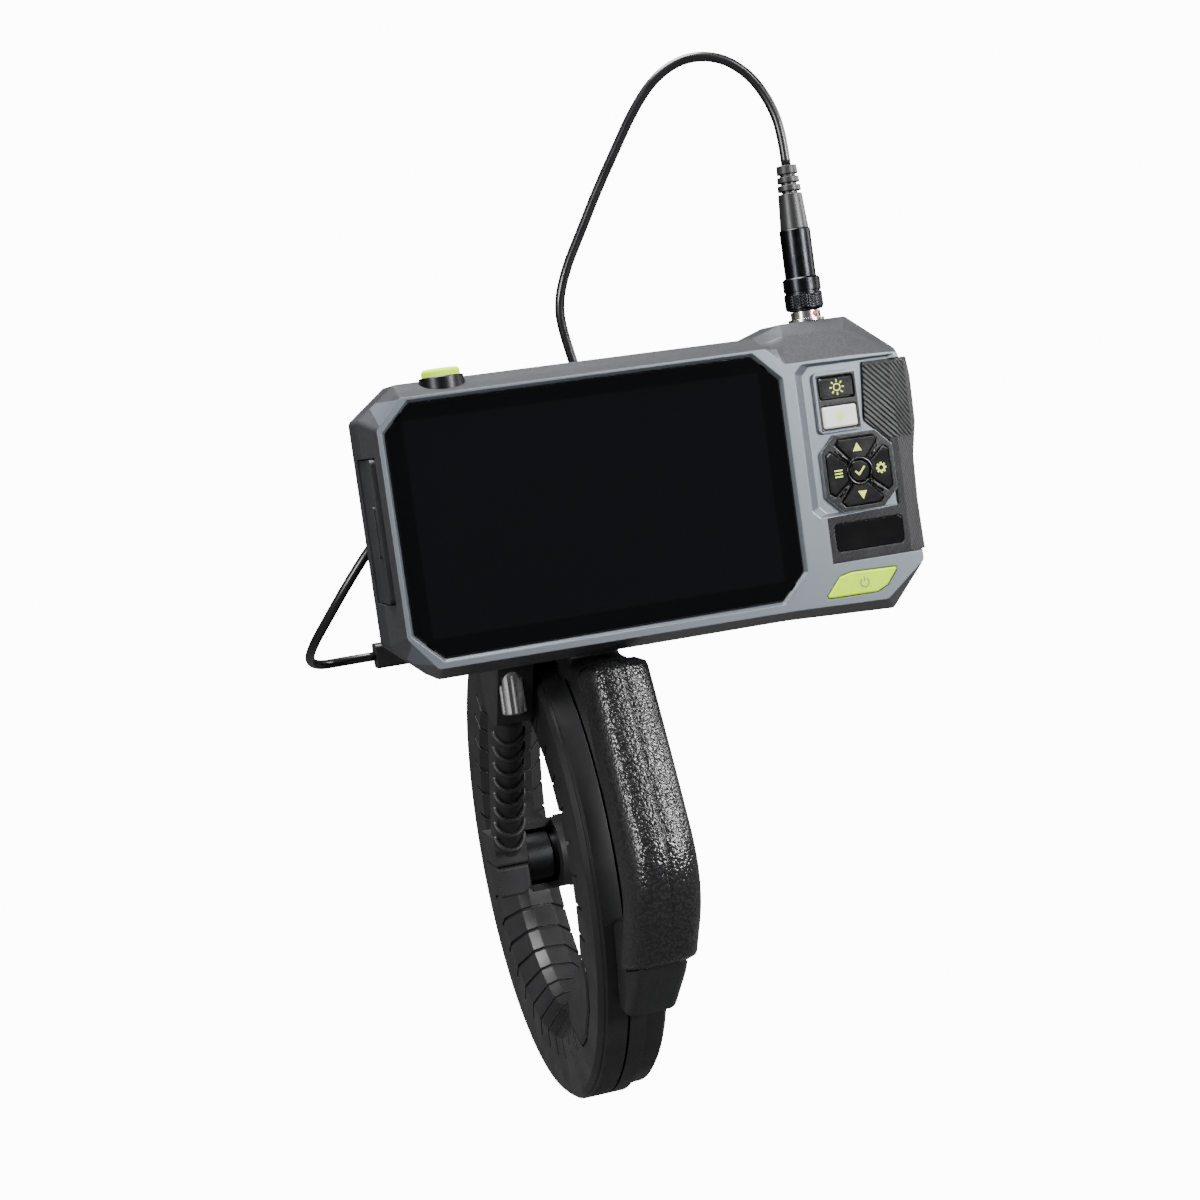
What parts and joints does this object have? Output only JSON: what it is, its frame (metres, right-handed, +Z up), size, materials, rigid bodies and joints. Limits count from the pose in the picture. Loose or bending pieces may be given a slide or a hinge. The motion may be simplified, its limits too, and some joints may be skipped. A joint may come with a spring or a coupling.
{
  "type": "pipe inspection camera",
  "caption": "Handheld push-cable inspection camera: a rugged tilting monitor with keys above a ring-shaped reel and a D-shaped grip.",
  "frame": {"origin": "the middle of the hand grip, where a hand holds the tool", "axes": "+Z up, +Y away from the user, +X to the user's right, along the reel's axle"},
  "size_m": [0.1907, 0.2159, 0.3375],
  "materials": {
    "bezel_paint": "fine metallic grain, satin",
    "case_plastic": "fine moulded grain",
    "reel_plastic": "satin, fine turned grain",
    "frame_plastic": "satin moulded grain",
    "grip_rubber": "coarse textured soft rubber",
    "side_rubber": "fine hatched rubber",
    "lime_key": "semi-gloss",
    "black_key": "gloss",
    "white_key": "gloss",
    "screen_glass": "polished, dark",
    "display": "dark display",
    "badge": "gloss plate, left blank",
    "silicone": "soft silicone",
    "board": "solder mask",
    "battery": "shrink sleeve",
    "steel": "satin",
    "black_steel": "black oxide",
    "hinge_metal": "black anodised",
    "nickel": "satin nickel",
    "plug_metal": "black anodised, knurled band",
    "boot_rubber": "matt rubber",
    "lead_jacket": "smooth jacket",
    "cable_jacket": "stiff push cable jacket",
    "bush_bronze": "turned threaded insert",
    "icon_ink": "printed yellow-green ink",
    "power_ink": "printed blue-grey ink",
    "red_mark": "enamel dot",
    "window_glass": "clear"
  },
  "bodies": {
    "frame": {"handle_left": "frame_plastic", "handle_right": "frame_plastic", "grip_sleeve": "grip_rubber", "head_left": "frame_plastic", "head_right": "frame_plastic", "arm_socket": "frame_plastic", "arm_thumbscrew": "steel", "reel_arm": "frame_plastic", "hub_clamp": "frame_plastic", "hub_axle": "steel", "slip_ring_body": "hinge_metal", "tilt_post": "hinge_metal", "tilt_pin": "steel", "lead_outlet": "boot_rubber", "nozzle": "frame_plastic", "lead_lower": "lead_jacket"},
    "drum": {"reel_shell_left": "reel_plastic", "reel_shell_right": "reel_plastic", "reel_screws": "black_steel", "push_cable_coil": "cable_jacket", "reel_hub": "reel_plastic", "hub_plate": "reel_plastic", "hub_bush": "hinge_metal", "slip_ring_disc": "hinge_metal"},
    "monitor": {"front_case": "bezel_paint", "rear_case": "case_plastic", "case_gasket": "silicone", "case_screws": "black_steel", "screen_glass": "screen_glass", "display_panel": "display", "side_grip": "side_rubber", "badge_plate": "badge", "key_mat": "silicone", "main_board": "board", "battery_pack": "battery", "battery_cover": "case_plastic", "port_block": "case_plastic", "tripod_insert": "bush_bronze", "hinge_plate": "hinge_metal", "button_collar": "hinge_metal", "lead_socket": "nickel", "plug_barrel": "plug_metal", "plug_boot": "boot_rubber", "lead_upper": "lead_jacket"},
    "camera": {"camera_head": "steel", "camera_window": "window_glass", "push_cable_end": "cable_jacket"},
    "lock_knob": {"lock_knob": "frame_plastic"},
    "port_flap": {"port_flap": "case_plastic"},
    "plug_sleeve": {"plug_sleeve": "plug_metal"},
    "capture_button": {"capture_button": "lime_key"},
    "brightness_key": {"brightness_key": "black_key"},
    "lamp_key": {"lamp_key": "white_key"},
    "up_key": {"up_key": "black_key"},
    "menu_key": {"menu_key": "black_key"},
    "down_key": {"down_key": "black_key"},
    "settings_key": {"settings_key": "black_key"},
    "ok_key": {"ok_key": "black_key"},
    "power_key": {"power_key": "lime_key"}
  },
  "joints": [
    {"name": "drum_spin", "type": "hinge", "parent": "frame", "child": "drum", "pos_m": [-0.0026, 0.112, -0.032], "axis": [1, 0, 0], "continuous": true},
    {"name": "monitor_tilt", "type": "hinge", "parent": "frame", "child": "monitor", "pos_m": [0, 0.048, 0.0894], "axis": [-1, 0, 0], "range_deg": [0, 40]},
    {"name": "lock_knob_turn", "type": "hinge", "parent": "frame", "child": "lock_knob", "pos_m": [-0.0168, 0.048, 0.0894], "axis": [1, 0, 0], "range_deg": [0, 180]},
    {"name": "port_flap_swing", "type": "hinge", "parent": "monitor", "child": "port_flap", "pos_m": [-0.0664, 0.0273, 0.0909], "axis": [0, 0, -1], "range_deg": [0, 100]},
    {"name": "plug_sleeve_pull", "type": "slide", "parent": "monitor", "child": "plug_sleeve", "axis": [0, 0, 1], "range_m": [0, 0.002], "stiffness_N_per_m": 600},
    {"name": "capture_press", "type": "slide", "parent": "monitor", "child": "capture_button", "axis": [0, 0, -1], "range_m": [0, 0.0008], "stiffness_N_per_m": 1500},
    {"name": "brightness_press", "type": "slide", "parent": "monitor", "child": "brightness_key", "axis": [0, 1, 0], "range_m": [0, 0.0007], "stiffness_N_per_m": 1500},
    {"name": "lamp_press", "type": "slide", "parent": "monitor", "child": "lamp_key", "axis": [0, 1, 0], "range_m": [0, 0.0007], "stiffness_N_per_m": 1500},
    {"name": "up_press", "type": "slide", "parent": "monitor", "child": "up_key", "axis": [0, 1, 0], "range_m": [0, 0.0007], "stiffness_N_per_m": 1500},
    {"name": "menu_press", "type": "slide", "parent": "monitor", "child": "menu_key", "axis": [0, 1, 0], "range_m": [0, 0.0007], "stiffness_N_per_m": 1500},
    {"name": "down_press", "type": "slide", "parent": "monitor", "child": "down_key", "axis": [0, 1, 0], "range_m": [0, 0.0007], "stiffness_N_per_m": 1500},
    {"name": "settings_press", "type": "slide", "parent": "monitor", "child": "settings_key", "axis": [0, 1, 0], "range_m": [0, 0.0007], "stiffness_N_per_m": 1500},
    {"name": "ok_press", "type": "slide", "parent": "monitor", "child": "ok_key", "axis": [0, 1, 0], "range_m": [0, 0.0007], "stiffness_N_per_m": 1500},
    {"name": "power_press", "type": "slide", "parent": "monitor", "child": "power_key", "axis": [0, 1, 0], "range_m": [0, 0.0007], "stiffness_N_per_m": 1500},
    {"name": "camera_pull", "type": "slide", "parent": "frame", "child": "camera", "axis": [0, 1, 0], "range_m": [0, 0.02]}
  ]
}
